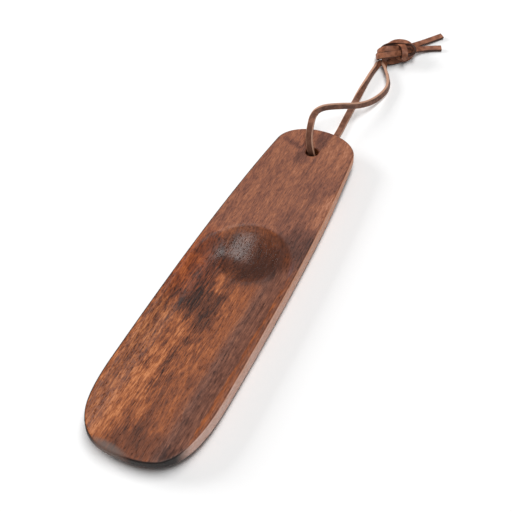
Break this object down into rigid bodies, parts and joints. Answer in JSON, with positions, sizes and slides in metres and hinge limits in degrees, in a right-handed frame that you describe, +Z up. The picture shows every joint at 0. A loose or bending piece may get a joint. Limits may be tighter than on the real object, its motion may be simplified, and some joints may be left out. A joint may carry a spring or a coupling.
{
  "type": "shoe horn",
  "caption": "Hand-sized wooden shoe horn with a long carved trough, a rounder bowl at its upper end, a flat handle and a knotted leather hanging lace through the handle.",
  "frame": {"origin": "middle of the horn body's footprint, on the surface that its back lies on", "axes": "+Z up out of the hollow, -Y towards the tip, +Y towards the handle end and the lace, +X to the right seen from the tip"},
  "size_m": [0.0528, 0.3086, 0.0146],
  "materials": {
    "wood": "oiled red-brown hardwood with long open pores, satin",
    "leather": "brown full-grain strap, matt, with paler cut edges"
  },
  "bodies": {
    "horn": {"horn_body": "wood"},
    "lace": {"lace_loop": "leather", "lace_knot": "leather", "lace_tail_upper": "leather", "lace_tail_lower": "leather"}
  },
  "joints": [
    {"name": "lace_swing", "type": "hinge", "parent": "horn", "child": "lace", "pos_m": [0, 0.0835, 0.0058], "axis": [0, 0, 1], "range_deg": [-75, 85]}
  ]
}
